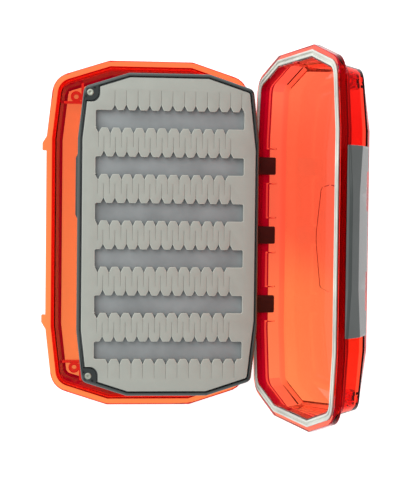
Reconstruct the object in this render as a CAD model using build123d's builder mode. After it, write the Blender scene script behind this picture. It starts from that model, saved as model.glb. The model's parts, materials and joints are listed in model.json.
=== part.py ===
from build123d import *
import math
import os

os.makedirs("parts", exist_ok=True)

# Driving dimensions, in millimetres and degrees.
# The box lies with its long side along Y and its hinge on the +X side. The base's
# underside is at Z = 0. The lid stands open, and the leaf lies level over the base.
BOX_LENGTH = 190.0
BOX_WIDTH = 114.0
SHELL_DEPTH = 17.8  # from the parting plane to the underside, or to the roof
END_FLAT = 45.8  # straight stretch in the middle of each short end
SIDE_FLAT = 104.0  # straight stretch in the middle of each long side
CORNER_X = 53.2
CORNER_Y = 85.2
CORNER_RADIUS = 11.5
SHARPEST_CORNER = 1.5
NO_PULL = (0, 0, 0)
FLOOR_THICKNESS = 1.8
FLANGE_DEPTH = 4.0  # how far each rim flange reaches from the parting plane
BASE_RIM_DROP = 0.6  # the base's rim face under the parting plane
LID_RIM_RISE = 0.2  # the lid's rim face over the parting plane
CLEARANCE = 0.3  # between pieces that move past each other
POST_X = -41.3  # the hollow posts in the shells' front corners
POST_Y = 75.8
POST_RADIUS = 3.1
POST_BORE_RADIUS = 1.3
RIB_THICKNESS = 1.4

OPEN_ANGLE = 103.0  # the lid from closed to standing on its stop
HINGE_X = 58.1
HINGE_RISE = 1.1  # the main hinge line over the parting plane
HINGE_SITES = (38.0, 0.0, -38.0)
KNUCKLE_RADIUS = 2.4
HINGE_PIN_RADIUS = 1.1
EAR_INNER = 4.3  # each hinge's two base ears, from the middle of the hinge
EAR_OUTER = 8.0

LEAF_INSET = 8.2  # the leaf's outline inside the box outline
LEAF_CORNER = 4.0  # radius of the leaf's true corners
LEAF_Y = -0.4  # side play of the leaf on its pins
LEAF_HALF_THICKNESS = 4.5
LEAF_PIN_U = 9.7  # the leaf's hinge line from the lid's rear edge
LEAF_PIN_W = -2.83  # and over the parting plane, with the lid closed
LEAF_PIN_FROM_EDGE = 1.3
LEAF_PIN_DROP = 1.5  # the hinge line under the leaf's middle plane
LEAF_PIN_RADIUS = 0.75

LATCH_LENGTH = 87.8
LATCH_PIN_U = 112.5  # the latch's hinge line from the lid's rear edge
LATCH_PIN_W = 12.6  # and over the parting plane, with the lid closed
LATCH_PIN_RADIUS = 0.9
LATCH_OPEN_ANGLE = 38.0  # the latch from locked to where it stands
LATCH_SITES = (23.2, -23.2)
LUG_HALF_WIDTH = 8.8

ROW_PITCH = 24.8  # the foam's rows, along Y
WINDOW_HEIGHT = 9.4
WINDOW_LEFT = -39.3
WINDOW_RIGHT = 40.5
TAB_PITCH = 6.2
NOTCH_DEPTH = 2.9
NOTCH_WIDTH = 2.2
SLIT_WIDTH = 0.3
SLIT_LENGTH = 7.4

RIM = SHELL_DEPTH  # height of the parting plane
HINGE_Z = RIM + HINGE_RISE
HINGE_LINE = Axis((HINGE_X, 0, HINGE_Z), (0, 1, 0))
LATCH_X = BOX_WIDTH / 2 - LATCH_PIN_U
LATCH_Z = RIM + LATCH_PIN_W
LATCH_LINE = Axis((LATCH_X, 0, LATCH_Z), (0, 1, 0))


def turned(x, z, angle):
    """Where a point of the closed lid goes when the lid opens by an angle."""
    dx, dz = x - HINGE_X, z - HINGE_Z
    c, s = math.cos(math.radians(angle)), math.sin(math.radians(angle))
    return HINGE_X + dx * c + dz * s, HINGE_Z - dx * s + dz * c


# The leaf's hinge line and middle with the lid open: the leaf itself stays level.
LEAF_PIN_X, LEAF_PIN_Z = turned(BOX_WIDTH / 2 - LEAF_PIN_U, RIM + LEAF_PIN_W, OPEN_ANGLE)
LEAF_HALF_WIDTH = BOX_WIDTH / 2 - LEAF_INSET
LEAF_X = LEAF_PIN_X + LEAF_PIN_FROM_EDGE - LEAF_HALF_WIDTH
LEAF_Z = LEAF_PIN_Z + LEAF_PIN_DROP


def outline_points(inset, hinge_inset=None, front_pull=NO_PULL):
    """The outline's twelve corners, each side moved inwards by inset.

    front_pull draws the front of both ends further in: the true corners along X and
    along Y, and the corners next to them along Y."""
    quarter = [(BOX_WIDTH / 2, SIDE_FLAT / 2), (CORNER_X, CORNER_Y), (END_FLAT / 2, BOX_LENGTH / 2)]
    half = quarter + [(-x, y) for x, y in reversed(quarter)]
    corners = [Vector(x, y) for x, y in half + [(x, -y) for x, y in reversed(half)]]
    insets = [inset] * len(corners)
    if hinge_inset is not None:
        insets[-1] = hinge_inset
    sides = []
    for i, corner in enumerate(corners):
        along = (corners[(i + 1) % len(corners)] - corner).normalized()
        sides.append((corner + Vector(-along.Y, along.X) * insets[i], along))
    points = []
    for i, (start, along) in enumerate(sides):
        before, before_along = sides[i - 1]
        gap = start - before
        cross = before_along.X * along.Y - before_along.Y * along.X
        reach = (gap.X * along.Y - gap.Y * along.X) / cross
        points.append(before + before_along * reach)
    corner_x, corner_y, end_y = front_pull
    points[3] += Vector(0, -end_y)
    points[4] += Vector(corner_x, -corner_y)
    points[5] += Vector(corner_x / 4, 0)
    points[6] += Vector(corner_x / 4, 0)
    points[7] += Vector(corner_x, corner_y)
    points[8] += Vector(0, end_y)
    return points


def box_outline(inset, hinge_inset=None, front_pull=NO_PULL, corner=CORNER_RADIUS, mode=Mode.ADD):
    """The box outline, moved inwards, with its four true corners rounded.

    corner is the radius that the true corners would have at no inset."""
    radius = max(corner - inset, SHARPEST_CORNER)
    points = outline_points(inset, hinge_inset, front_pull)
    with BuildLine() as border:
        FilletPolyline(*points, radius=[0, radius, 0] * 4, close=True)
    make_face(border.edges(), mode=mode)


def drafted(levels, mode=Mode.ADD, corner=CORNER_RADIUS):
    """A solid that runs through the outline at each (height, inset[, front pull])."""
    sections = []
    for height, inset, *front_pull in levels:
        with BuildSketch(Plane.XY.offset(height)) as section:
            box_outline(inset, None, *front_pull, corner=corner)
        sections.append(section.sketch)
    loft(sections, ruled=True, mode=mode)


def rim_ring(outer, inner, low, high, mode=Mode.ADD):
    """A band that follows the rim between two insets and two heights."""
    with BuildSketch(Plane.XY.offset(low)) as band:
        box_outline(outer)
        box_outline(inner, mode=Mode.SUBTRACT)
    extrude(band.sketch, amount=high - low, mode=mode)


def across(y):
    """The plane square to the hinge line at y: its local axes are X and Z."""
    return Plane.XZ.offset(-y)


def lengthways(x, y, z):
    """Where a cylinder along Y is centred."""
    return Location((x, y, z), (90, 0, 0))


def corner_posts(foot, tip, rib_tip, rib_reach):
    """At each front corner, a hollow post boxed in by two ribs, rising from foot."""
    inner_x, inner_y = POST_X + POST_RADIUS + 1.1, POST_Y - POST_RADIUS - 0.8
    reach_x, reach_y = rib_reach
    for side in (1, -1):
        with BuildSketch(Plane.XY.offset(foot)) as post:
            with Locations((POST_X, side * POST_Y)):
                Circle(POST_RADIUS)
        extrude(post.sketch, amount=tip - foot)
        with BuildSketch(Plane.XY.offset(foot)) as ribs:
            with Locations((inner_x - RIB_THICKNESS / 2, side * (inner_y + reach_y) / 2)):
                Rectangle(RIB_THICKNESS, reach_y - inner_y)
            with Locations(((inner_x + reach_x) / 2, side * (inner_y + RIB_THICKNESS / 2))):
                Rectangle(inner_x - reach_x, RIB_THICKNESS)
        extrude(ribs.sketch, amount=rib_tip - foot)
        with BuildSketch(Plane.XY.offset(foot)) as bore:
            with Locations((POST_X, side * POST_Y)):
                Circle(POST_BORE_RADIUS)
        extrude(bore.sketch, amount=tip - foot, mode=Mode.SUBTRACT)


def open_lid(part):
    """Swings a piece of the closed lid to where the lid stands open."""
    return part.rotate(HINGE_LINE, OPEN_ANGLE)


def finish(piece, name):
    """Labels a piece and writes its file."""
    piece.part.label = name
    export_step(piece.part, f"parts/{name}.step")


# Base tray: floor, drafted walls, rim flange with a sealing tongue, catch lugs and ears.
BASE_FACE = RIM - BASE_RIM_DROP
TONGUE_INSET = 3.7
TONGUE_WIDTH = 0.6
TONGUE_HEIGHT = 0.75

with BuildPart() as base_shell:
    drafted([(0, 6.4), (1.9, 4.9), (RIM - FLANGE_DEPTH, 2.8)])
    rim_ring(0, 5.0, RIM - FLANGE_DEPTH, BASE_FACE)
    drafted([(FLOOR_THICKNESS, 8.2), (3.8, 6.9), (RIM - 5, 5.3), (BASE_FACE + 1, 5.2)], Mode.SUBTRACT)
    rim_ring(TONGUE_INSET, TONGUE_INSET + TONGUE_WIDTH, BASE_FACE, BASE_FACE + TONGUE_HEIGHT)
    corner_posts(FLOOR_THICKNESS - 0.2, 6.4, 6.0, (-48.7, 83.5))
    # Two lugs on the front edge, which the latch lies between.
    for side in (1, -1):
        with BuildSketch(Plane.XY.offset(RIM - FLANGE_DEPTH)):
            Polygon(
                (-56.0, side * 52.9),
                (-57.0, side * 52.9),
                (-59.2, side * 49.2),
                (-59.2, side * 45.5),
                (-58.8, side * 45.1),
                (-56.0, side * 45.1),
                align=None,
            )
        extrude(amount=FLANGE_DEPTH - BASE_RIM_DROP)
    for site in HINGE_SITES:
        # Room for the lid's knuckle.
        with Locations(lengthways(HINGE_X, site, HINGE_Z)):
            Cylinder(KNUCKLE_RADIUS + CLEARANCE, 2 * EAR_INNER, mode=Mode.SUBTRACT)
        for side in (1, -1):
            with BuildSketch(across(site + side * (EAR_INNER + EAR_OUTER) / 2)):
                with Locations((HINGE_X, HINGE_Z)):
                    Circle(KNUCKLE_RADIUS)
                with BuildLine():
                    Polyline(
                        (55.0, RIM - FLANGE_DEPTH),
                        (58.6, RIM - FLANGE_DEPTH),
                        (HINGE_X + KNUCKLE_RADIUS, RIM - 2.2),
                        (HINGE_X + KNUCKLE_RADIUS, HINGE_Z),
                        (HINGE_X, HINGE_Z),
                        (HINGE_X - 1.1, BASE_FACE),
                        (55.0, BASE_FACE),
                        close=True,
                    )
                make_face()
            extrude(amount=(EAR_OUTER - EAR_INNER) / 2, both=True)
        with Locations(lengthways(HINGE_X, site, HINGE_Z)):
            Cylinder(HINGE_PIN_RADIUS, 2 * EAR_OUTER + 1, mode=Mode.SUBTRACT)
finish(base_shell, "base_shell")

# Hinge pins: pressed into the base's ears, with the lid's knuckle turning on each.
for pin_name, site in zip(("upper", "middle", "lower"), HINGE_SITES):
    with BuildPart() as hinge_pin:
        with Locations(lengthways(HINGE_X, site, HINGE_Z)):
            Cylinder(HINGE_PIN_RADIUS, 2 * EAR_OUTER)
        chamfer(hinge_pin.edges().filter_by(GeomType.CIRCLE), 0.25)
    finish(hinge_pin, f"hinge_pin_{pin_name}")

# Lid, built closed: roof, drafted walls, a thick rim with the gasket's groove, knuckles,
# posts and ribs inside the front corners, and the latch's lugs on the front wall.
LID_FACE = RIM + LID_RIM_RISE
ROOF = RIM + SHELL_DEPTH
GASKET_OUTER = 2.4
GASKET_INNER = 5.6
GASKET_SEAT = 1.6
LID_LIP = 6.4  # the inner edge of the lid's rim
PANEL_GROOVE_DEPTH = 0.3
PANEL_GROOVE_WIDTH = 0.5
PANEL_X = -9.0
PANEL_HALF = [(17.8, 0), (11.5, 25.6), (0, 27.4), (-11.5, 25.6), (-17.8, 0)]
PANEL_POINTS = PANEL_HALF + [(x, -y) for x, y in reversed(PANEL_HALF[1:-1])]
PANEL_RADII = [20, 2.5, 12, 2.5] * 2

with BuildPart() as lid_shell:
    drafted(
        [
            (RIM + FLANGE_DEPTH, 2.8, (0, 1.3, 1.3)),
            (ROOF - 1.9, 3.9, (3.0, 1.6, 5.2)),
            (ROOF, 5.2, (5.5, 1.1, 5.7)),
        ]
    )
    rim_ring(0, 5.0, LID_FACE, RIM + FLANGE_DEPTH)
    drafted([(LID_FACE - 1, 3.5), (RIM + FLANGE_DEPTH, 3.5)])
    drafted(
        [
            (LID_FACE - 1.5, LID_LIP),
            (RIM + FLANGE_DEPTH, LID_LIP),
            (RIM + 7.5, 4.9, (0.9, 1.4, 2.4)),
            (ROOF - 4.3, 5.6, (2.4, 1.5, 4.4)),
            (ROOF - FLOOR_THICKNESS, 7.8, (3.6, 1.2, 5.0)),
        ],
        Mode.SUBTRACT,
    )
    drafted([(LID_FACE - 2, 0), (LID_FACE, 0)], Mode.SUBTRACT)
    rim_ring(GASKET_OUTER, GASKET_INNER, LID_FACE, LID_FACE + GASKET_SEAT, Mode.SUBTRACT)
    corner_posts(ROOF - FLOOR_THICKNESS + 0.2, ROOF - 6.4, ROOF - 6.0, (-46.0, 81.0))
    # A fine groove round a bare panel in the roof's outer face.
    with BuildSketch(Plane.XY.offset(ROOF - PANEL_GROOVE_DEPTH)):
        with BuildLine():
            FilletPolyline(
                *[(PANEL_X + x, y) for x, y in PANEL_POINTS], radius=PANEL_RADII, close=True
            )
        make_face()
        offset(amount=-PANEL_GROOVE_WIDTH, mode=Mode.SUBTRACT)
    extrude(amount=1.0, mode=Mode.SUBTRACT)
    # Thin ribs each side of every leaf clip, and the pocket between them.
    for site in HINGE_SITES:
        with Locations((BOX_WIDTH / 2 - 6.2, site, RIM + 5.4)):
            Box(1.4, 18.4, 4.0, mode=Mode.SUBTRACT)
        for side in (1, -1):
            with Locations((BOX_WIDTH / 2 - 5.6, site + side * 9.6, RIM + 8.4)):
                Box(1.8, 0.8, 5.0)
    for site in HINGE_SITES:
        # Room for the base's ears each side of the knuckle.
        for side in (1, -1):
            with Locations(lengthways(HINGE_X, site + side * 6.2, HINGE_Z)):
                Cylinder(KNUCKLE_RADIUS + CLEARANCE, 4.4, mode=Mode.SUBTRACT)
        with Locations(lengthways(HINGE_X, site, HINGE_Z)):
            Cylinder(KNUCKLE_RADIUS, 2 * (EAR_INNER - CLEARANCE))
            Cylinder(HINGE_PIN_RADIUS + 0.05, 3 * EAR_OUTER, mode=Mode.SUBTRACT)
    for site in LATCH_SITES:
        with BuildSketch(across(site)):
            with Locations((LATCH_X, LATCH_Z)):
                Circle(1.8)
            with Locations((LATCH_X + 1.2, LATCH_Z)):
                Rectangle(2.4, 3.6)
        extrude(amount=LUG_HALF_WIDTH, both=True)
        with Locations(lengthways(LATCH_X, site, LATCH_Z)):
            Cylinder(LATCH_PIN_RADIUS, 2 * LUG_HALF_WIDTH + 1, mode=Mode.SUBTRACT)
lid_shell.part = open_lid(lid_shell.part)
finish(lid_shell, "lid_shell")

# Gasket: a soft ring with two lips, which the base's tongue presses between.
GASKET_STAND = 0.5  # how far the lips stand out of the lid's rim face

with BuildPart() as lid_gasket:
    rim_ring(GASKET_OUTER, GASKET_INNER, LID_FACE - GASKET_STAND, LID_FACE + GASKET_SEAT)
    rim_ring(
        TONGUE_INSET - CLEARANCE,
        TONGUE_INSET + TONGUE_WIDTH + CLEARANCE,
        LID_FACE - GASKET_STAND,
        LID_FACE + 0.3,
        Mode.SUBTRACT,
    )
lid_gasket.part = open_lid(lid_gasket.part)
finish(lid_gasket, "lid_gasket")

# Leaf clips: fixed to the lid's rear wall, each with an eye for a leaf pin.
CLIP_WIDTH = 9.6
EYE_RADIUS = 1.55
CLOSED_PIN_X = BOX_WIDTH / 2 - LEAF_PIN_U
CLOSED_PIN_Z = RIM + LEAF_PIN_W
SHANK_OUTER = BOX_WIDTH / 2 - LID_LIP
SHANK_INNER = SHANK_OUTER - 1.7

for clip_name, site in zip(("upper", "middle", "lower"), HINGE_SITES):
    with BuildPart() as leaf_clip:
        with BuildSketch(across(site)):
            with BuildLine():
                Polyline(
                    (SHANK_OUTER, RIM + 9.9),
                    (SHANK_INNER, RIM + 9.9),
                    (SHANK_INNER, CLOSED_PIN_Z + EYE_RADIUS),
                    (CLOSED_PIN_X, CLOSED_PIN_Z + EYE_RADIUS),
                    (CLOSED_PIN_X, CLOSED_PIN_Z - EYE_RADIUS),
                    (SHANK_INNER + 0.5, CLOSED_PIN_Z - EYE_RADIUS),
                    (SHANK_OUTER, RIM - 1.5),
                    close=True,
                )
            make_face()
            with Locations((CLOSED_PIN_X, CLOSED_PIN_Z)):
                Circle(EYE_RADIUS)
                Circle(LEAF_PIN_RADIUS + 0.05, mode=Mode.SUBTRACT)
        extrude(amount=CLIP_WIDTH / 2, both=True)
    leaf_clip.part = open_lid(leaf_clip.part)
    finish(leaf_clip, f"leaf_clip_{clip_name}")

# Leaf frame: an outer wall round a thin web, with a pad at each free corner, a thumb
# tab on the free edge, and a notch with two bosses under the hinge edge at each clip.
WEB_HALF = 0.8
WALL_INSET = LEAF_INSET + 1.7
HINGE_WALL_INSET = LEAF_INSET + 1.1
STUD_X = 6.5 - LEAF_HALF_WIDTH
STUD_Y = 75.95
STUD_RADIUS = 1.88
SMALL_HOLE_RADIUS = 0.6  # the two holes beside each stud
NOTCH_HALF_LENGTH = 6.3
BOSS_HALF_LENGTH = 9.3
BOSS_REACH = 5.0
LEAF_PLACE = Location((LEAF_X, LEAF_Y, LEAF_Z))
LEAF_SITES = [site - LEAF_Y for site in HINGE_SITES]  # the hinge sites from the leaf's middle


def pocket_outline(extra, mode=Mode.ADD):
    """The leaf's foam pocket, moved inwards by extra, clear of the corner pads."""
    corner = LEAF_CORNER + LEAF_INSET
    box_outline(WALL_INSET + extra, HINGE_WALL_INSET + extra, corner=corner, mode=mode)
    for side in (1, -1):
        with Locations((STUD_X - 15.0 + 4.4 + extra, side * (STUD_Y + 15.0 - 4.2 - extra))):
            RectangleRounded(30.0, 30.0, 4.2 + extra, mode=Mode.SUBTRACT)


def boss_gaps(extra):
    """Cuts the back layers clear of the hinge bosses."""
    for site in LEAF_SITES:
        with Locations((LEAF_HALF_WIDTH - BOSS_REACH / 2, site)):
            Rectangle(BOSS_REACH + 2 * extra, 2 * (BOSS_HALF_LENGTH + extra), mode=Mode.SUBTRACT)


with BuildPart() as leaf_frame:
    drafted(
        [
            (-LEAF_HALF_THICKNESS, LEAF_INSET + 0.8),
            (0.8 - LEAF_HALF_THICKNESS, LEAF_INSET),
            (LEAF_HALF_THICKNESS - 0.8, LEAF_INSET),
            (LEAF_HALF_THICKNESS, LEAF_INSET + 0.8),
        ],
        corner=LEAF_CORNER + LEAF_INSET,
    )
    with BuildSketch(Plane.XY.offset(WEB_HALF)):
        pocket_outline(0)
    extrude(amount=LEAF_HALF_THICKNESS, mode=Mode.SUBTRACT)
    with BuildSketch(Plane.XY.offset(-WEB_HALF)):
        pocket_outline(0)
        boss_gaps(0)
    extrude(amount=-LEAF_HALF_THICKNESS, mode=Mode.SUBTRACT)
    with BuildSketch(Plane.XY.offset(-3.0)):
        Polygon(
            (-LEAF_HALF_WIDTH, 43.0),
            (-LEAF_HALF_WIDTH - 1.0, 41.0),
            (-LEAF_HALF_WIDTH - 1.0, 10.5),
            (-LEAF_HALF_WIDTH, 8.5),
            (-LEAF_HALF_WIDTH + 1.0, 8.5),
            (-LEAF_HALF_WIDTH + 1.0, 43.0),
            align=None,
        )
    extrude(amount=6.0)
    for site in LEAF_SITES:
        with Locations((LEAF_HALF_WIDTH - 1.9, site, 0.35 - 5.0)):
            Box(3.8, 2 * NOTCH_HALF_LENGTH, 10.0, mode=Mode.SUBTRACT)
        with Locations(lengthways(LEAF_HALF_WIDTH - LEAF_PIN_FROM_EDGE, site, -LEAF_PIN_DROP)):
            Cylinder(LEAF_PIN_RADIUS, 2 * BOSS_HALF_LENGTH - 0.4, mode=Mode.SUBTRACT)
    for side in (1, -1):
        with Locations((STUD_X, side * STUD_Y)):
            Cylinder(STUD_RADIUS, 3 * LEAF_HALF_THICKNESS, mode=Mode.SUBTRACT)
        small_holes = ((STUD_X + 2.3, side * (STUD_Y + 2.4)), (STUD_X - 2.4, side * (STUD_Y - 2.3)))
        with Locations(*[(x, y, LEAF_HALF_THICKNESS) for x, y in small_holes]):
            Cylinder(SMALL_HOLE_RADIUS, 4.0, mode=Mode.SUBTRACT)
leaf_frame.part = leaf_frame.part.moved(LEAF_PLACE)
finish(leaf_frame, "leaf_frame")

# Leaf pins: pressed into the bosses at the frame's hinge edge.
for pin_name, site in zip(("upper", "middle", "lower"), HINGE_SITES):
    with BuildPart() as leaf_pin:
        with Locations(lengthways(LEAF_PIN_X, site, LEAF_PIN_Z)):
            Cylinder(LEAF_PIN_RADIUS, 2 * BOSS_HALF_LENGTH - 0.4)
    finish(leaf_pin, f"leaf_pin_{pin_name}")

# Studs: round steel studs right through the pads at the leaf's free corners.
for stud_name, side in (("upper", 1), ("lower", -1)):
    with BuildPart() as leaf_stud:
        with Locations((STUD_X, side * STUD_Y)):
            Cylinder(STUD_RADIUS, 2 * LEAF_HALF_THICKNESS + 0.4)
        chamfer(leaf_stud.edges().filter_by(GeomType.CIRCLE), 0.3)
        for face_height in (1, -1):
            with Locations((STUD_X, side * STUD_Y, face_height * (LEAF_HALF_THICKNESS + 0.2))):
                Cylinder(0.6, 1.0, mode=Mode.SUBTRACT)
    leaf_stud.part = leaf_stud.part.moved(LEAF_PLACE)
    finish(leaf_stud, f"leaf_stud_{stud_name}")

# Foam: seven rows of tabs between six windows on each side of the leaf, over a backing.
BACKING_TOP = 1.5
FOAM_TOP = 4.9
WINDOW_ROWS = [ROW_PITCH * (2.5 - row) for row in range(6)]
TABS_DOWN = -34.85  # first notch under an inner row, and in the top row's edge
TABS_UP = -37.8  # first notch over an inner row
TABS_ACROSS = 12  # notches along each window edge
TOP_ROW_SHIFT = -0.5


def notch(x, edge, away):
    """A notch into a row's edge at x, ending in a slit; away is +1 or -1 along Y."""
    deep = edge + away * NOTCH_DEPTH
    end = deep + away * SLIT_LENGTH
    return [
        (x - NOTCH_WIDTH / 2, edge),
        (x - NOTCH_WIDTH / 4, edge + away * NOTCH_DEPTH * 0.35),
        (x - SLIT_WIDTH / 2, deep),
        (x - SLIT_WIDTH / 2, end),
        (x + SLIT_WIDTH / 2, end),
        (x + SLIT_WIDTH / 2, deep),
        (x + NOTCH_WIDTH / 4, edge + away * NOTCH_DEPTH * 0.35),
        (x + NOTCH_WIDTH / 2, edge),
    ]


def window_points(row):
    """One window's outline, with the notches of the rows above and below it."""
    middle = WINDOW_ROWS[row]
    high, low = middle + WINDOW_HEIGHT / 2, middle - WINDOW_HEIGHT / 2
    first_high = TABS_DOWN + TAB_PITCH + TOP_ROW_SHIFT if row == 0 else TABS_DOWN
    first_low = TABS_UP + TAB_PITCH if row == 5 else TABS_UP
    points = [(WINDOW_LEFT, high)]
    for tab in range(TABS_ACROSS):
        points += notch(first_high + TAB_PITCH * tab, high, 1)
    points += [(WINDOW_RIGHT, high), (WINDOW_RIGHT, low)]
    for tab in reversed(range(TABS_ACROSS)):
        points += reversed(notch(first_low + TAB_PITCH * tab, low, -1))
    return points + [(WINDOW_LEFT, low)]


def foam_layer(name, side):
    """One foam sheet: side is +1 for the front of the leaf and -1 for its back."""
    with BuildPart() as foam:
        with BuildSketch(Plane.XY.offset(side * BACKING_TOP)):
            pocket_outline(0.4)
            if side < 0:
                boss_gaps(0.3)
            for row in range(6):
                Polygon(*window_points(row), align=None, mode=Mode.SUBTRACT)
        extrude(amount=side * (FOAM_TOP - BACKING_TOP))
    foam.part = foam.part.moved(LEAF_PLACE)
    finish(foam, name)


def backing_layer(name, side):
    """The smooth sheet between the web and one foam sheet."""
    with BuildPart() as backing:
        with BuildSketch(Plane.XY.offset(side * WEB_HALF)):
            pocket_outline(0.2)
            if side < 0:
                boss_gaps(0.3)
        extrude(amount=side * (BACKING_TOP - WEB_HALF))
    backing.part = backing.part.moved(LEAF_PLACE)
    finish(backing, name)


foam_layer("foam_front", 1)
foam_layer("foam_back", -1)
backing_layer("foam_backing_front", 1)
backing_layer("foam_backing_back", -1)

# Latch, built locked: one long bar hinged on the lid's front wall, whose hook goes
# under the base's rim between the lugs. Each point is out from, and down from, its pin.
# The bar's outer face has a crease, which runs higher towards the ends, where the hook
# is thinner too.
LATCH_BARREL_RADIUS = 1.7
LATCH_MIDDLE_HALF = 21.5
LATCH_ROOT = [(0.2, 1.6), (1.9, 7.9), (1.9, 16.95), (0.4, 16.95), (0.7, 18.2)]
LATCH_TOP = [(2.0, -0.9), (0.6, -1.6)]
LATCH_MIDDLE = LATCH_ROOT + [(2.5, 19.0), (3.9, 18.7), (4.7, 13.1)] + LATCH_TOP
LATCH_END = LATCH_ROOT + [(1.5, 18.6), (2.4, 18.3), (3.95, 9.2)] + LATCH_TOP


def latch_section(profile, y):
    """The bar's section at y."""
    with BuildSketch(across(y)) as section:
        Polygon(*[(LATCH_X - out, LATCH_Z - down) for out, down in profile], align=None)
    return section.sketch


with BuildPart() as latch:
    loft(
        [
            latch_section(LATCH_END, -LATCH_LENGTH / 2),
            latch_section(LATCH_MIDDLE, -LATCH_MIDDLE_HALF),
            latch_section(LATCH_MIDDLE, LATCH_MIDDLE_HALF),
            latch_section(LATCH_END, LATCH_LENGTH / 2),
        ],
        ruled=True,
    )
    with Locations(lengthways(LATCH_X, 0, LATCH_Z)):
        Cylinder(LATCH_BARREL_RADIUS, LATCH_LENGTH)
    for site in LATCH_SITES:
        # Room for the lid's lug, open to the top and the wall side.
        with Locations((LATCH_X + 0.3, site, LATCH_Z + 0.3)):
            Box(5.4, 2 * (LUG_HALF_WIDTH + CLEARANCE), 5.4, mode=Mode.SUBTRACT)
        with Locations(lengthways(LATCH_X, site, LATCH_Z)):
            Cylinder(LATCH_PIN_RADIUS + 0.05, 24.4, mode=Mode.SUBTRACT)
latch.part = open_lid(latch.part.rotate(LATCH_LINE, LATCH_OPEN_ANGLE))
finish(latch, "latch")

# Latch pins: pressed through the lid's lugs, with the latch turning on their ends.
for pin_name, site in zip(("upper", "lower"), LATCH_SITES):
    with BuildPart() as latch_pin:
        with Locations(lengthways(LATCH_X, site, LATCH_Z)):
            Cylinder(LATCH_PIN_RADIUS, 24.0)
    latch_pin.part = open_lid(latch_pin.part)
    finish(latch_pin, f"latch_pin_{pin_name}")
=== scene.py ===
"""An open fly box in clear orange plastic, with a foam leaf and a bar latch."""

import json
import math
import random

import bmesh
import bpy
from mathutils import Matrix, Vector


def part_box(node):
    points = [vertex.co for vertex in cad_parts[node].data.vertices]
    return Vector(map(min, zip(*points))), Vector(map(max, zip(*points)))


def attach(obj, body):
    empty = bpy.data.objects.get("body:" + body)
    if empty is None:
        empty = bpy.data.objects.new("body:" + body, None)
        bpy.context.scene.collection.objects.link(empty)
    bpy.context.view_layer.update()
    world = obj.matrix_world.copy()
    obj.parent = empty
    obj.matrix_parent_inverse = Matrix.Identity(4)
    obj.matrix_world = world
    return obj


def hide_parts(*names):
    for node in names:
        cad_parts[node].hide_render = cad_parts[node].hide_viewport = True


bl_info = {
    "name": "Fly Box",
    "version": (1, 0, 0),
    "blender": (4, 5, 0),
    "location": "View3D > Sidebar > Fly Box",
    "description": "Builds the foam, finishes and studio of an open fly box",
    "category": "Object",
}

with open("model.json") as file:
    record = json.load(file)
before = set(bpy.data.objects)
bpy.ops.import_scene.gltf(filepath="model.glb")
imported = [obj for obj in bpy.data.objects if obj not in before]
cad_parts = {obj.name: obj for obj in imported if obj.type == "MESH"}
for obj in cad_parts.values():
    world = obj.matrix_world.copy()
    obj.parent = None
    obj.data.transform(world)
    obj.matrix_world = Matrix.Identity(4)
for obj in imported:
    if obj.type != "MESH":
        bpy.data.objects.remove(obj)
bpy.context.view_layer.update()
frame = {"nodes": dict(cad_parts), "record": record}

MM = 0.001
SAME_POINT = 1e-6  # corners nearer than this are one corner
SHARP = math.radians(30)  # edges that turn by more than this can be rounded
SMOOTH_TURN = 35  # degrees, below which two faces are shaded as one

# Corners of the box outline in one quarter, from the hinge side to the end.
OUTLINE = [(57.0 * MM, 52.0 * MM), (53.2 * MM, 85.2 * MM), (22.9 * MM, 95.0 * MM)]
CORNER_CUT = 2.3 * MM  # how far the true corners' rounding draws the outline inwards
OUTLINE_SLACK = 0.3 * MM

# Heights with the lid closed.
RIM_LOW, RIM_HIGH = 12.5 * MM, 23 * MM  # both rim flanges
TONGUE_FOOT = 17.3 * MM  # the base's tongue, which presses on the seal
LID_WALL_FOOT = 21.8 * MM
LID_WALL_CREASE = 25.4 * MM
PANEL_GROOVE_FLOOR = 35.2 * MM
BASE_POSTS = (4 * MM, 12 * MM)
LID_POSTS = (24 * MM, 31 * MM)

# Distances inside the box outline.
TONGUE_INSET = 4.6 * MM
BASE_WALL_FROM = 4.7 * MM
BASE_WALL_TO = 8.4 * MM  # what is further in is a post or its ribs
PANEL_INSET = 15 * MM

# Where the rounded flange edges and the painted highlight line in the lid's walls stop.
CLEAR_OF_HINGES = 50 * MM
CLEAR_OF_CATCH = 54 * MM
CLIP_SITES = (38.0 * MM, 0.0, -38.0 * MM)
CLIP_POCKET_HALF = 9.4 * MM
CLIP_POCKET_X = 48 * MM

# How level a facet is: 0 where it stands upright and 1 where it lies flat.
UPRIGHT = 0.05  # at most
WALL_SLOPE = 0.6  # at most, in a wall
SLOPING = 0.45  # at least
LEVEL = 0.9  # at least
FLAT = 0.98  # at least, on the foam
SQUARE_ON = 0.9  # how squarely a facet faces the box's front, at least
LEVEL_SLACK = 0.1 * MM

# How deep the plastic looks: 0 in a pale sheet and 1 in a wall. The deep tones stand partly for
# thick plastic seen edge on and partly for painted shade.
DEPTH_AND_SHADE = {
    "rim sheet": 0.05,
    "sheet": 0.07,
    "lid rear wall": 0.12,
    "slope": 0.18,
    "outer wall": 0.2,
    "lid wall": 0.3,
    "rim side": 0.45,
    "tongue": 0.55,
    "post": 0.8,
    "rounded edge": 0.9,
    "panel groove": 0.9,
    "inner wall": 1.0,
}
PALE_DEPTH = 0.4  # below this, the depth drifts along the piece
LID_DRIFT = -1.4  # per metre towards the hinge
BASE_DRIFT = 0.6  # per metre towards the upper end

# The leaf
LEAF_HALF_WIDTH = 48.8 * MM  # without its thumb tab
LEAF_LOW, LEAF_HIGH = (Vector(corner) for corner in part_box("leaf_frame"))
LEAF_MIDDLE_X = LEAF_HIGH.x - LEAF_HALF_WIDTH
LEAF_MIDDLE_Y = (LEAF_LOW.y + LEAF_HIGH.y) / 2
LEAF_MIDDLE_Z = (LEAF_LOW.z + LEAF_HIGH.z) / 2
LIP_INSET = 9.3 * MM  # from the box outline to the inside of the leaf frame's lip
LIP_HEIGHT = 3.4 * MM  # from the leaf's middle

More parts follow.
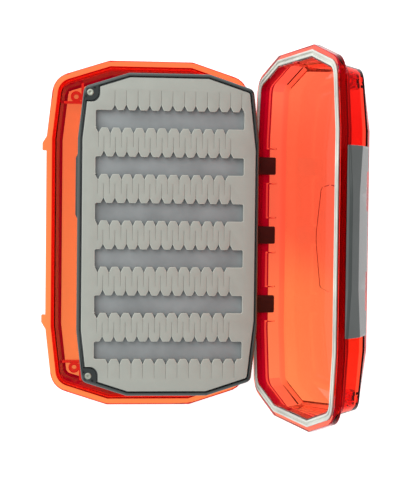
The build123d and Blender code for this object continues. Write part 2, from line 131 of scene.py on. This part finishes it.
# The foam. It leaves a groove inside the frame, wider than the solids' clearance.
FOAM_SHARE_X = 0.989
FOAM_SHARE_Y = 0.994
ROWS = 6
TABS = 12  # in each row
# Places across the leaf, from its middle.
WINDOW_LEFT = -39.3 * MM
WINDOW_RIGHT = 40.5 * MM
TABS_REACH = 41 * MM
FIRST_NOTCH_ABOVE = -34.85 * MM  # in the row above a window
FIRST_NOTCH_BELOW = -37.8 * MM
TOP_ROW_SHIFT = 0.5 * MM
WINDOW_CHAMFER = 0.6 * MM
NOTCH_WANDER = 0.12 * MM
NOTCH_STEPS = 6
NOTCH_CURVE = 1.25  # 1 is a straight sided notch
DEEPEST_NOTCH = 1.1  # times the stated depth
SLIT_LENGTH = 7.4 * MM
CUT_WALL = 0.1  # how level a cut wall can be
# Tones of the foam's faces, its rounded edges, lighter as a painted highlight, and its cut walls,
# darker as painted shade.
FOAM_FACE_TONE, EDGE_HIGHLIGHT_TONE, CUT_WALL_SHADE_TONE = 0.5, 0.9, 0.1
FOAM_SEED = 7

# The clear plastic
# A painted highlight line along the lid's lower inner walls.
HIGHLIGHT_EDGE = (0.14, 0.24)  # the painted highlight line's edge, as shares of its wall's height
HIGHLIGHT_STRENGTH = 0.42
LID_SPAN = (-35 * MM, 12 * MM)  # the stretch of the lid along which it reddens
LID_REDDENING = (0.04, 0.19)
WALL_DEPTHS = (0.9, 0.98)  # depths over which the plastic turns opaque, so that the wall tint shows as painted shade
WALL_CLEARNESS = (1.0, 0.2)
SHEET_STOP, RED_STOP = 0.2, 0.6  # depths of the middle two tints
THICK_PLASTIC = (0.98, 0.25, 0.083)

CLIP_BLACK = (0.04, 0.006, 0.006)
STEEL_DARK = (0.33, 0.35, 0.29)
STEEL_LIGHT = (0.45, 0.47, 0.40)


def length(name, description, default):
    """A length in the panel."""
    return bpy.props.FloatProperty(
        name=name,
        description=description,
        default=default,
        unit="LENGTH",
    )


def colour(name, description, default):
    """A colour in the panel."""
    return bpy.props.FloatVectorProperty(
        name=name,
        description=description,
        subtype="COLOR",
        size=3,
        min=0,
        max=1,
        default=default,
    )


class FlyBoxSizes(bpy.types.PropertyGroup):
    """Sizes of the slotted foam"""

    window_height: length(
        "Window height",
        "Height of each gap between two rows of foam tabs",
        9.4 * MM,
    )
    row_pitch: length("Row pitch", "From one window to the next", 24.8 * MM)
    tab_pitch: length(
        "Tab pitch",
        "From one notch in a row of foam tabs to the next",
        6.2 * MM,
    )
    notch_depth: length(
        "Notch depth",
        "How far each notch reaches into a row of foam tabs",
        3.0 * MM,
    )
    notch_mouth: length(
        "Notch mouth",
        "Width of a notch where it opens into a window",
        3.3 * MM,
    )
    slit_width: length("Slit width", "Width of the slits that hold the hooks", 0.04 * MM)
    foam_round: length("Foam edge", "Radius of the foam's worn edges", 0.28 * MM)


class FlyBoxColours(bpy.types.PropertyGroup):
    """Colours of the box, the leaf and the seal"""

    plastic: colour(
        "Plastic",
        "Tint of the clear plastic at its lightest, in the thin flat sheets",
        (1.0, 0.49, 0.17),
    )
    plastic_sheet: colour(
        "Plastic sheet",
        "Tint of the clear plastic where a flat sheet is at its reddest",
        (0.96, 0.23, 0.11),
    )
    plastic_red: colour(
        "Plastic red",
        "Tint of the clear plastic in the outer walls",
        (0.8, 0.05, 0.07),
    )
    # The wall tint is partly painted shade.
    plastic_wall: colour(
        "Plastic walls",
        "Tint of the clear plastic in the inner walls and ribs",
        (0.5, 0.0003, 0.02),
    )
    plastic_gloss: colour(
        "Plastic gloss",
        "Tint of the reflections in the clear plastic",
        (0.9, 0.12, 0.14),
    )
    plastic_depth: bpy.props.FloatProperty(
        name="Plastic depth",
        description="How fast thick plastic turns to deep red, per metre",
        default=260.0,
        min=0,
    )
    foam: colour("Foam", "Colour of the slotted foam", (0.365, 0.385, 0.345))
    backing: colour("Backing", "Colour of the smooth sheet in the windows", (0.25, 0.275, 0.28))
    frame: colour("Frame", "Colour of the leaf's frame", (0.012, 0.018, 0.018))
    # The frame lip colour is a painted highlight along the frame's outer lip.
    lip_highlight_colour: colour("Frame lip", "Colour of the lip round the leaf's frame", (0.055, 0.07, 0.068))
    latch: colour("Latch", "Colour of the bar latch", (0.032, 0.040, 0.038))
    seal: colour("Seal", "Colour of the lid's soft seal", (0.62, 0.64, 0.58))


def deselect():
    for item in bpy.context.selected_objects:
        item.select_set(False)


def activate(piece):
    deselect()
    piece.select_set(True)
    bpy.context.view_layer.objects.active = piece


# Materials


def new_material(name):
    """A material with a Principled shader, and its nodes and links."""
    material = bpy.data.materials.new(name)
    material.use_nodes = True
    nodes = material.node_tree.nodes
    return material, nodes, material.node_tree.links, nodes["Principled BSDF"]


def attribute(nodes, name):
    """What a piece's mesh attribute says."""
    node = nodes.new("ShaderNodeAttribute")
    node.attribute_name = name
    return node.outputs["Fac"]


def maths(nodes, links, operation, *values):
    """The result of a sum on numbers and on other nodes' outputs."""
    node = nodes.new("ShaderNodeMath")
    node.operation = operation
    for socket, value in zip(node.inputs, values):
        if isinstance(value, bpy.types.NodeSocket):
            links.new(value, socket)
        else:
            socket.default_value = value
    return node.outputs["Value"]


def mapped(nodes, links, value, come, go, kind="LINEAR"):
    """Brings a value from the range it comes in to the range it goes to."""
    node = nodes.new("ShaderNodeMapRange")
    node.interpolation_type = kind
    ends = zip(("From Min", "From Max", "To Min", "To Max"), (*come, *go))
    for socket, end in ends:
        node.inputs[socket].default_value = end
    links.new(value, node.inputs["Value"])
    return node.outputs["Result"]


def object_place(nodes):
    """The piece's own coordinates."""
    return nodes.new("ShaderNodeTexCoord").outputs["Object"]


def add_noise(nodes, links, scale, detail=3.0):
    """Noise on the piece's own coordinates, in waves per metre."""
    noise = nodes.new("ShaderNodeTexNoise")
    noise.inputs["Scale"].default_value = scale
    noise.inputs["Detail"].default_value = detail
    links.new(object_place(nodes), noise.inputs["Vector"])
    return noise.outputs["Fac"]


def add_bump(nodes, links, shader, height, strength, distance):
    """Roughens a shader's surface."""
    bump = nodes.new("ShaderNodeBump")
    bump.inputs["Strength"].default_value = strength
    bump.inputs["Distance"].default_value = distance
    links.new(height, bump.inputs["Height"])
    links.new(bump.outputs["Normal"], shader.inputs["Normal"])


def add_tones(nodes, links, shader, factor, dark, light):
    """Runs a factor through a ramp from a dark to a light tone of one colour."""
    ramp = nodes.new("ShaderNodeValToRGB")
    ramp.color_ramp.elements[0].position = 0.3
    ramp.color_ramp.elements[1].position = 0.7
    ramp.color_ramp.elements[0].color = (*dark, 1)
    ramp.color_ramp.elements[1].color = (*light, 1)
    links.new(factor, ramp.inputs["Fac"])
    links.new(ramp.outputs["Color"], shader.inputs["Base Color"])
    return ramp.color_ramp


def shade(tint, amount):
    return [channel * amount for channel in tint]


def painted_highlight_line(nodes, links):
    """How much lighter a lid wall is painted, as a painted highlight that is strongest along its
    middle.
    """
    from_middle = maths(nodes, links, "SUBTRACT", attribute(nodes, "highlight_rise"), 0.5)
    distance = maths(nodes, links, "ABSOLUTE", from_middle)
    return mapped(nodes, links, distance, HIGHLIGHT_EDGE, (HIGHLIGHT_STRENGTH, 0), "SMOOTHSTEP")


def depth_and_painted_light(nodes, links):
    """How deep the plastic looks, partly as painted shade, from what is marked on the piece and
    where it lies, paler along a painted highlight line.
    """
    mottle = add_noise(nodes, links, 18.0, 1.0)
    depth = maths(nodes, links, "MULTIPLY_ADD", mottle, 0.03, attribute(nodes, "wall"))
    # The lid's sheets are redder towards their upper end.
    axes = nodes.new("ShaderNodeSeparateXYZ")
    links.new(object_place(nodes), axes.inputs["Vector"])
    redder = mapped(nodes, links, axes.outputs["Y"], LID_SPAN, LID_REDDENING, "SMOOTHSTEP")
    depth = maths(nodes, links, "MULTIPLY_ADD", redder, attribute(nodes, "lid"), depth)
    # A painted highlight line makes the lid's lower inner walls paler.
    return maths(nodes, links, "SUBTRACT", depth, painted_highlight_line(nodes, links))


def clear_plastic(colours):
    """Clear orange plastic that turns to deep red where it is thick, and in its walls through tints
    that are partly painted shade.
    """
    material, nodes, links, shader = new_material("clear_orange_plastic")
    shader.inputs["Roughness"].default_value = 0.04
    shader.inputs["IOR"].default_value = 1.3
    shader.inputs["Specular IOR Level"].default_value = 0.1
    shader.inputs["Specular Tint"].default_value = (*colours.plastic_gloss, 1)
    depth = depth_and_painted_light(nodes, links)
    # The inner walls let little light through, so their deep red tint shows, partly as painted
    # shade.
    clear = mapped(nodes, links, depth, WALL_DEPTHS, WALL_CLEARNESS)
    links.new(clear, shader.inputs["Transmission Weight"])
    ramp = nodes.new("ShaderNodeValToRGB")
    stops = ramp.color_ramp.elements
    stops.new(SHEET_STOP)
    stops.new(RED_STOP)
    tints = (colours.plastic, colours.plastic_sheet, colours.plastic_red, colours.plastic_wall)
    for stop, tint in zip(stops, tints):
        stop.color = (*tint, 1)
    links.new(depth, ramp.inputs["Fac"])
    links.new(ramp.outputs["Color"], shader.inputs["Base Color"])
    ripple = add_noise(nodes, links, 45.0, 1.0)
    add_bump(nodes, links, shader, ripple, 0.05, 0.0004)
    inside = nodes.new("ShaderNodeVolumeAbsorption")
    inside.inputs["Color"].default_value = (*THICK_PLASTIC, 1)
    inside.inputs["Density"].default_value = colours.plastic_depth
    links.new(inside.outputs["Volume"], nodes["Material Output"].inputs["Volume"])
    return material


def moulded_plastic(name, tint, roughness, grain=900.0):
    """Opaque moulded plastic with a very fine grain and faint flow marks."""
    material, nodes, links, shader = new_material(name)
    flow = add_noise(nodes, links, 60.0)
    add_tones(nodes, links, shader, flow, shade(tint, 0.85), shade(tint, 1.15))
    shader.inputs["Roughness"].default_value = roughness
    fine = add_noise(nodes, links, grain)
    add_bump(nodes, links, shader, fine, 0.15, 0.00004)
    return material


def cellular_foam(name, tint):
    """Closed cell foam: a fine grain and a soft mottle, with a painted highlight on its rounded
    edges and painted shade on its cut walls.
    """
    material, nodes, links, shader = new_material(name)
    mottle = add_noise(nodes, links, 160.0, 4.0)
    # Rounded edges get a painted highlight and cut walls painted shade.
    painted_light_here = maths(nodes, links, "MULTIPLY_ADD", mottle, 0.12, attribute(nodes, "foam_light_shade"))
    tones = add_tones(nodes, links, shader, painted_light_here, shade(tint, 0.55), shade(tint, 1.4))
    tones.elements[0].position = 0.1
    tones.elements[1].position = 0.9
    tones.elements.new(0.56).color = (*tint, 1)
    shader.inputs["Roughness"].default_value = 0.85
    shader.inputs["Sheen Weight"].default_value = 0.15
    cells = nodes.new("ShaderNodeTexVoronoi")
    cells.inputs["Scale"].default_value = 2600.0
    links.new(object_place(nodes), cells.inputs["Vector"])
    add_bump(nodes, links, shader, cells.outputs["Distance"], 0.35, 0.0001)
    return material


def plain_steel():
    """Turned steel with fine tool marks."""
    material, nodes, links, shader = new_material("turned_steel")
    marks = add_noise(nodes, links, 1400.0)
    add_tones(nodes, links, shader, marks, STEEL_DARK, STEEL_LIGHT)
    shader.inputs["Metallic"].default_value = 1.0
    shader.inputs["Roughness"].default_value = 0.42
    add_bump(nodes, links, shader, marks, 0.1, 0.00003)
    return material


def smoked_plastic(colours):
    """Smoked plastic with a paler painted highlight on the thin lip round it."""
    material = moulded_plastic("smoked_frame_plastic", colours.frame, 0.22)
    nodes, links = material.node_tree.nodes, material.node_tree.links
    mix = nodes.new("ShaderNodeMix")
    mix.data_type = "RGBA"
    mix.inputs["B"].default_value = (*colours.lip_highlight_colour, 1)
    # The lip gets its paler colour as a painted highlight.
    links.new(attribute(nodes, "lip"), mix.inputs["Factor"])
    links.new(nodes["Color Ramp"].outputs["Color"], mix.inputs["A"])
    links.new(mix.outputs["Result"], nodes["Principled BSDF"].inputs["Base Color"])
    return material


def black_plastic():
    """Near black plastic with a weak shine."""
    material = moulded_plastic("black_plastic", CLIP_BLACK, 0.35)
    shader = material.node_tree.nodes["Principled BSDF"]
    shader.inputs["Specular IOR Level"].default_value = 0.25
    return material


def wear(piece, material):
    """Gives a piece one material in place of what it came with."""
    piece.data.materials.clear()
    piece.data.materials.append(material)


class FLYBOX_OT_finishes(bpy.types.Operator):
    """Gives the foam backing and the steel parts their finishes"""

    bl_idname = "flybox.finishes"
    bl_label = "Finishes"

    def execute(self, context):
        colours = context.scene.flybox_colours
        finishes = {
            "foam_backing": moulded_plastic("foam_backing_sheet", colours.backing, 0.6, 1500.0),
            "steel": plain_steel(),
        }
        for subpart in frame["record"]["subparts"]:
            if subpart["material_slot"] in finishes:
                wear(frame["nodes"][subpart["node"]], finishes[subpart["material_slot"]])
        return {"FINISHED"}


# Moulded pieces


def join_corners():
    """Joins the active piece's loose triangles and turns its faces outwards."""
    bpy.ops.object.mode_set(mode="EDIT")
    bpy.ops.mesh.select_all(action="SELECT")
    bpy.ops.mesh.remove_doubles(threshold=SAME_POINT)
    bpy.ops.mesh.normals_make_consistent(inside=False)
    bpy.ops.object.mode_set(mode="OBJECT")


def merged_copy(node, name):
    """A copy of a CAD piece with its loose triangles joined."""
    piece = bpy.data.objects.new(name, frame["nodes"][node].data.copy())
    bpy.context.collection.objects.link(piece)
    activate(piece)
    bpy.ops.mesh.customdata_custom_splitnormals_clear()
    join_corners()
    return piece


def soften(piece, width, chosen=None, segments=2, smooth=SMOOTH_TURN):
    """Rounds a piece's sharp edges, or the chosen ones, and shades it smooth."""
    activate(piece)
    mesh = bmesh.new()
    mesh.from_mesh(piece.data)
    for face in mesh.faces:
        face.select_set(False)
    for edge in mesh.edges:
        sharp = len(edge.link_faces) == 2 and edge.calc_face_angle() > SHARP
        edge.select_set(sharp and (chosen is None or chosen(edge)))
    mesh.to_mesh(piece.data)
    mesh.free()
    bpy.ops.object.mode_set(mode="EDIT")
    bpy.ops.mesh.select_mode(type="EDGE")
    bpy.ops.mesh.bevel(offset=width, segments=segments, clamp_overlap=False)
    bpy.ops.object.mode_set(mode="OBJECT")
    bpy.ops.object.shade_smooth_by_angle(angle=math.radians(smooth))


def put_in_place(piece, node, body, material):
    """Puts a finished piece in the place of a CAD piece."""
    wear(piece, material)
    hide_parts(node)
    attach(piece, body)


def moulding(node, name, body, material, width, smooth=SMOOTH_TURN):
    """Replaces a CAD piece with a softened copy of itself."""
    piece = merged_copy(node, name)
    soften(piece, width, smooth=smooth)
    put_in_place(piece, node, body, material)


def closed_place(body):
    """Brings a point from the open box to where it is with the lid closed."""
    if body == "base":
        return Matrix.Identity(4)
    joints = frame["record"]["behaviour"]["joints"]
    hinge = next(joint for joint in joints if joint["name"] == "lid_hinge")
    pin = Matrix.Translation(hinge["pos_m"])
    return pin @ Matrix.Rotation(math.radians(hinge["range_deg"][0]), 4, "Y") @ pin.inverted()


def outline_inset(x, y):
    """How far inside the box outline a point lies."""
    x, y = abs(x), abs(y)
    insets = [OUTLINE[0][0] - x, OUTLINE[-1][1] - y]
    for start, end in zip(OUTLINE, OUTLINE[1:]):
        along = (Vector(end) - Vector(start)).normalized()
        insets.append((x - start[0]) * -along.y + (y - start[1]) * along.x)
    return min(insets)


def flange_edge(place):
    """A test for the outer edges of a rim flange, clear of the hinges and the catch."""

    def is_flange_edge(edge):
        ends = [place @ vert.co for vert in edge.verts]
        clear = all(
            abs(end.y) > (CLEAR_OF_HINGES if end.x > 0 else CLEAR_OF_CATCH) for end in ends
        )
        middle = (ends[0] + ends[1]) / 2
        outside = -OUTLINE_SLACK < outline_inset(middle.x, middle.y) < CORNER_CUT
        return clear and outside and edge.is_convex and RIM_LOW < middle.z < RIM_HIGH

    return is_flange_edge


def rim_part(body, middle, flat, inset):
    """Which part of a rim a facet is in, or None."""
    # Rounded flange edges and rim sides get deep tones as a painted dark outline, where light is
    # reflected inside the plastic.
    at_edge = RIM_LOW < middle.z < RIM_HIGH and inset < CORNER_CUT
    if at_edge and UPRIGHT < flat < 1 - UPRIGHT:
        return "rounded edge"
    if at_edge and flat < UPRIGHT:
        return "rim side"
    if body == "base" and middle.z > TONGUE_FOOT and inset < TONGUE_INSET:
        return "tongue"
    return None


def level_part(middle):
    """Which part a level facet is in."""
    if any(low < middle.z < high for low, high in (BASE_POSTS, LID_POSTS)):
        return "post"
    return "rim sheet" if RIM_LOW < middle.z < RIM_HIGH else "sheet"


def wall_part(body, middle, normal, inset, inwards):
    """Which part a steep facet is in."""
    if body == "base":
        return "post" if inset > BASE_WALL_TO else "outer wall"
    if not inwards:
        return "outer wall"
    if middle.z < LID_WALL_CREASE:
        return "inner wall"
    return "lid rear wall" if normal.x < -SQUARE_ON else "lid wall"


def plastic_part(body, middle, normal):
    """Which part of a clear shell a facet is in."""
    flat = abs(normal.z)
    inset = outline_inset(middle.x, middle.y)
    inwards = normal.xy.dot(middle.xy) < 0
    in_groove = body == "lid" and middle.z > PANEL_GROOVE_FLOOR and inset > PANEL_INSET
    if in_groove and (flat < LEVEL or middle.z < PANEL_GROOVE_FLOOR + LEVEL_SLACK):
        return "panel groove"
    at_rim = rim_part(body, middle, flat, inset)
    if at_rim:
        return at_rim
    if flat > LEVEL:
        return level_part(middle)
    if body == "base" and inwards and BASE_WALL_FROM < inset < BASE_WALL_TO:
        return "inner wall"
    if flat > SLOPING:
        return "slope"
    return wall_part(body, middle, normal, inset, inwards)


def has_painted_highlight_line(body, middle, normal):
    """Whether a facet is in the lid's lower inner wall, clear of the clips' pockets, where the
    painted highlight line goes.
    """
    low_wall = body == "lid" and LID_WALL_FOOT < middle.z < LID_WALL_CREASE
    inner = abs(normal.z) < WALL_SLOPE and normal.xy.dot(middle.xy) < 0
    in_pocket = middle.x > CLIP_POCKET_X and any(
        abs(middle.y - site) < CLIP_POCKET_HALF for site in CLIP_SITES
    )
    return low_wall and inner and not in_pocket


def mark_walls(piece, body):
    """Marks how deep the plastic looks, partly as painted shade, redder towards the front and the
    upper end, and where a painted highlight line goes.
    """
    place = closed_place(body)
    turn = place.to_3x3()
    mesh = piece.data
    wall = mesh.attributes.new("wall", "FLOAT", "CORNER")
    highlight_rise = mesh.attributes.new("highlight_rise", "FLOAT", "CORNER")
    lid = mesh.attributes.new("lid", "FLOAT", "POINT")
    for vertex in mesh.vertices:
        lid.data[vertex.index].value = 1.0 if body == "lid" else 0.0
    for face in mesh.polygons:
        middle, normal = place @ face.center, turn @ face.normal
        depth = DEPTH_AND_SHADE[plastic_part(body, middle, normal)]
        # Facets in the lid's lower inner wall carry the painted highlight line.
        highlight_here = has_painted_highlight_line(body, middle, normal)
        for corner in face.loop_indices:
            point = place @ mesh.vertices[mesh.loops[corner].vertex_index].co
            drift = LID_DRIFT * point.x if body == "lid" else BASE_DRIFT * point.y
            wall.data[corner].value = max(0.0, depth + drift) if depth < PALE_DEPTH else depth
            share = (point.z - LID_WALL_FOOT) / (LID_WALL_CREASE - LID_WALL_FOOT)
            highlight_rise.data[corner].value = share if highlight_here else -1.0


class FLYBOX_OT_shells(bpy.types.Operator):
    """Softens the clear base and lid, and marks where their plastic looks deep, partly as painted
    shade
    """

    bl_idname = "flybox.shells"
    bl_label = "Clear shells"

    def execute(self, context):
        plastic = clear_plastic(context.scene.flybox_colours)
        for body in ("base", "lid"):
            piece = merged_copy(f"{body}_shell", f"clear_{body}")
            soften(piece, 0.5 * MM, flange_edge(closed_place(body)), segments=3, smooth=8)
            mark_walls(piece, body)
            put_in_place(piece, f"{body}_shell", body, plastic)
        return {"FINISHED"}


def leaf_inset(point):
    """How far inside the box outline, put round the leaf's middle, a point lies."""
    return outline_inset(point.x - LEAF_MIDDLE_X, point.y - LEAF_MIDDLE_Y)


def frame_rim(edge):
    """A test for the outer edges round the top and the underside of the leaf's frame."""
    return all(
        abs(vert.co.z - LEAF_MIDDLE_Z) > LIP_HEIGHT and leaf_inset(vert.co) < LIP_INSET
        for vert in edge.verts
    )


def mark_lip_highlight(piece):
    """Marks the lip round the outside of the leaf's frame, which gets a painted highlight."""
    lip = piece.data.attributes.new("lip", "FLOAT", "CORNER")
    for loop in piece.data.loops:
        inset = leaf_inset(piece.data.vertices[loop.vertex_index].co)
        lip.data[loop.index].value = 1.0 if inset < LIP_INSET else 0.0


class FLYBOX_OT_fittings(bpy.types.Operator):
    """Softens the latch, the leaf's frame, the clips, the studs and the seal"""

    bl_idname = "flybox.fittings"
    bl_label = "Fittings"

    def execute(self, context):
        colours = context.scene.flybox_colours
        seal = moulded_plastic("soft_seal", colours.seal, 0.5, 500.0)
        black = black_plastic()
        latch = moulded_plastic("latch_plastic", colours.latch, 0.25)
        steel = plain_steel()
        moulding("lid_gasket", "seal_ring", "lid", seal, 0.2 * MM)
        leaf = merged_copy("leaf_frame", "softened_leaf_frame")
        soften(leaf, 0.25 * MM, frame_rim)
        mark_lip_highlight(leaf)
        put_in_place(leaf, "leaf_frame", "leaf", smoked_plastic(colours))
        moulding("latch", "softened_latch", "latch", latch, 0.3 * MM, smooth=12)
        for place in ("upper", "middle", "lower"):
            moulding(f"leaf_clip_{place}", f"clip_{place}", "lid", black, 0.6 * MM)
        for place in ("upper", "lower"):
            moulding(f"leaf_stud_{place}", f"stud_{place}", "leaf", steel, 0.1 * MM)
        return {"FINISHED"}


# Foam


def notch_points(middle, edge, away, sizes):
    """One rounded notch at middle into a row's edge, ending in a slit."""
    depth = sizes.notch_depth * random.uniform(0.92, 1.06)
    half = sizes.notch_mouth / 2 * random.uniform(0.9, 1.08)
    slit = sizes.slit_width / 2
    side = []
    for step in range(NOTCH_STEPS + 1):
        share = step / NOTCH_STEPS
        across = half + (slit - half) * share
        side.append((across, edge + away * depth * share**NOTCH_CURVE))
    side.append((slit, edge + away * (depth + SLIT_LENGTH)))
    left = [(middle - x, y) for x, y in side]
    right = [(middle + x, y) for x, y in reversed(side)]
    return left + right


def window_middle(row, sizes):
    """How far up the leaf a window's middle is."""
    return sizes.row_pitch * ((ROWS - 1) / 2 - row)


def window_outline(row, sizes):
    """One window's outline with the notches of both rows beside it."""
    high = window_middle(row, sizes) + sizes.window_height / 2
    low = window_middle(row, sizes) - sizes.window_height / 2
    left, right, cut = WINDOW_LEFT, WINDOW_RIGHT, WINDOW_CHAMFER
    first_high, first_low = FIRST_NOTCH_ABOVE, FIRST_NOTCH_BELOW
    if row == 0:
        first_high += sizes.tab_pitch - TOP_ROW_SHIFT
    if row == ROWS - 1:
        first_low += sizes.tab_pitch
    points = [(left, low + cut), (left, high - cut), (left + cut, high)]
    for tab in range(TABS):
        middle = first_high + sizes.tab_pitch * tab + random.uniform(-1, 1) * NOTCH_WANDER
        points += notch_points(middle, high, 1, sizes)
    points += [(right - cut, high), (right, high - cut)]
    points += [(right, low + cut), (right - cut, low)]
    for tab in reversed(range(TABS)):
        middle = first_low + sizes.tab_pitch * tab + random.uniform(-1, 1) * NOTCH_WANDER
        points += reversed(notch_points(middle, low, -1, sizes))
    return points + [(left + cut, low)]


def sheet_outline(node):
    """The outer outline of a CAD foam sheet, read from its own top face's border."""
    mesh = bmesh.new()
    mesh.from_mesh(frame["nodes"][node].data)
    bmesh.ops.remove_doubles(mesh, verts=mesh.verts, dist=SAME_POINT)
    level = max(vert.co.z for vert in mesh.verts)
    border = [
        edge
        for edge in mesh.edges
        if all(abs(vert.co.z - level) < SAME_POINT for vert in edge.verts)
        and any(abs(face.normal.z) < WALL_SLOPE for face in edge.link_faces)
    ]
    links = {}
    for edge in border:
        first, second = edge.verts
        links.setdefault(first, []).append(second)
        links.setdefault(second, []).append(first)
    start = max(links, key=lambda vert: vert.co.y)
    loop, last, here = [start], start, links[start][0]
    while here != start:
        loop.append(here)
        last, here = here, [vert for vert in links[here] if vert != last][0]
    middle = Vector((LEAF_MIDDLE_X, LEAF_MIDDLE_Y))
    points = [vert.co.xy - middle for vert in loop]
    mesh.free()
    return [(x * FOAM_SHARE_X, y * FOAM_SHARE_Y) for x, y in points]


def flat_shape(name, outlines, low, high, edge):
    """A sheet with rounded edges from outlines, the first one outside and the rest holes."""
    curve = bpy.data.curves.new(name, "CURVE")
    curve.dimensions = "2D"
    curve.fill_mode = "BOTH"
    for outline in outlines:
        spline = curve.splines.new("POLY")
        spline.points.add(len(outline) - 1)
        for point, (x, y) in zip(spline.points, outline):
            point.co = (x, y, 0, 1)
        spline.use_cyclic_u = True
    curve.extrude = (high - low) / 2 - edge
    curve.bevel_depth = edge
    curve.bevel_resolution = 2
    curve.offset = -edge
    piece = bpy.data.objects.new(name, curve)
    bpy.context.collection.objects.link(piece)
    activate(piece)
    bpy.ops.object.convert(target="MESH")
    piece = bpy.context.active_object
    middle = (LEAF_MIDDLE_X, LEAF_MIDDLE_Y, (low + high) / 2)
    piece.data.transform(Matrix.Translation(middle))
    join_corners()
    bpy.ops.object.shade_smooth_by_angle(angle=math.radians(SMOOTH_TURN))
    return piece


def mark_painted_light(piece, sizes):
    """Marks the foam's painted light: its faces plain, its rounded edges with a painted highlight
    and its cut walls with painted shade.
    """
    foam_light_shade = piece.data.attributes.new("foam_light_shade", "FLOAT", "FACE")
    for face in piece.data.polygons:
        flat = abs(face.normal.z)
        x = face.center.x - LEAF_MIDDLE_X
        y = face.center.y - LEAF_MIDDLE_Y
        to_middles = [abs(y - window_middle(row, sizes)) for row in range(ROWS)]
        from_window = min(to_middles) - sizes.window_height / 2
        in_slit = from_window > DEEPEST_NOTCH * sizes.notch_depth and abs(x) < TABS_REACH
        if flat > FLAT or in_slit:
            foam_light_shade.data[face.index].value = FOAM_FACE_TONE
        else:
            foam_light_shade.data[face.index].value = EDGE_HIGHLIGHT_TONE if flat > CUT_WALL else CUT_WALL_SHADE_TONE


class FLYBOX_OT_foam(bpy.types.Operator):
    """Cuts both slotted foam sheets, with rounded tabs, notches and slits"""

    bl_idname = "flybox.foam"
    bl_label = "Foam sheets"

    def execute(self, context):
        sizes = context.scene.flybox_sizes
        foam = cellular_foam("pale_foam", context.scene.flybox_colours.foam)
        for node in ("foam_front", "foam_back"):
            random.seed(FOAM_SEED)
            low, high = (corner[2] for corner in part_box(node))
            outlines = [sheet_outline(node)]
            outlines += [window_outline(row, sizes) for row in range(ROWS)]
            name = node.replace("foam", "foam_tabs")
            piece = flat_shape(name, outlines, low, high, sizes.foam_round)
            mark_painted_light(piece, sizes)
            put_in_place(piece, node, "leaf", foam)
        return {"FINISHED"}


# Studio


class FLYBOX_OT_studio(bpy.types.Operator):
    """Sets up the floor, the light and the camera"""

    bl_idname = "flybox.studio"
    bl_label = "Studio"

    def execute(self, context):
        scene = context.scene
        scene.view_settings.view_transform = "Standard"
        self.add_floor()
        self.add_light(scene)
        self.add_camera(scene)
        return {"FINISHED"}

    def add_floor(self):
        """A pale glowing floor, just under the box."""
        deselect()
        bpy.ops.mesh.primitive_plane_add(size=6, location=(0, 0, -0.2 * MM))
        floor = bpy.context.active_object
        floor.name = "studio_floor"
        material, nodes, links, shader = new_material("pale_floor")
        paper = add_noise(nodes, links, 40.0)
        add_tones(nodes, links, shader, paper, (0.88, 0.88, 0.88), (0.9, 0.9, 0.9))
        shader.inputs["Roughness"].default_value = 0.9
        shader.inputs["Emission Color"].default_value = (1, 1, 1, 1)
        shader.inputs["Emission Strength"].default_value = 0.6
        wear(floor, material)

    def add_light(self, scene):
        """An even white sky, and one soft box above the upper left."""
        world = bpy.data.worlds.new("studio_light")
        world.use_nodes = True
        backdrop = world.node_tree.nodes["Background"]
        backdrop.inputs["Color"].default_value = (1, 1, 1, 1)
        backdrop.inputs["Strength"].default_value = 0.85
        scene.world = world
        light = bpy.data.lights.new("soft_box", "AREA")
        light.size = 0.8
        light.energy = 6
        lamp = bpy.data.objects.new("soft_box", light)
        scene.collection.objects.link(lamp)
        lamp.location = (-0.5, 0.6, 0.9)
        lamp.rotation_euler = (-lamp.location).to_track_quat("-Z", "Y").to_euler()

    def add_camera(self, scene):
        """A long lens that looks almost straight down on the open box."""
        lens = bpy.data.cameras.new("camera")
        lens.sensor_fit = "HORIZONTAL"
        lens.sensor_width = 36
        lens.lens = 99.17
        lens.clip_start = 0.05
        camera = bpy.data.objects.new("camera", lens)
        scene.collection.objects.link(camera)
        camera.location = (-0.0250, 0.0152, 0.6519)
        camera.rotation_mode = "ZYX"
        camera.rotation_euler = [math.radians(angle) for angle in (-1.64, -5.17, 0.52)]
        scene.camera = camera


class FLYBOX_PT_panel(bpy.types.Panel):
    """Sizes, colours and steps of the fly box"""

    bl_label = "Fly Box"
    bl_idname = "FLYBOX_PT_panel"
    bl_space_type = "VIEW_3D"
    bl_region_type = "UI"
    bl_category = "Fly Box"

    def draw(self, context):
        for group in (context.scene.flybox_sizes, context.scene.flybox_colours):
            box = self.layout.box()
            for name in group.bl_rna.properties.keys():
                if name not in ("rna_type", "name"):
                    box.prop(group, name)
        for operator in STEPS:
            self.layout.operator(operator.bl_idname)


STEPS = (
    FLYBOX_OT_finishes,
    FLYBOX_OT_shells,
    FLYBOX_OT_fittings,
    FLYBOX_OT_foam,
    FLYBOX_OT_studio,
)
CLASSES = (FlyBoxSizes, FlyBoxColours, *STEPS, FLYBOX_PT_panel)


def register():
    for kind in CLASSES:
        bpy.utils.register_class(kind)
    bpy.types.Scene.flybox_sizes = bpy.props.PointerProperty(type=FlyBoxSizes)
    bpy.types.Scene.flybox_colours = bpy.props.PointerProperty(type=FlyBoxColours)


def unregister():
    del bpy.types.Scene.flybox_colours
    del bpy.types.Scene.flybox_sizes
    for kind in reversed(CLASSES):
        bpy.utils.unregister_class(kind)


def main():
    register()
    bpy.ops.flybox.finishes()
    bpy.ops.flybox.shells()
    bpy.ops.flybox.fittings()
    bpy.ops.flybox.foam()
    bpy.ops.flybox.studio()


if __name__ == "__main__":
    main()
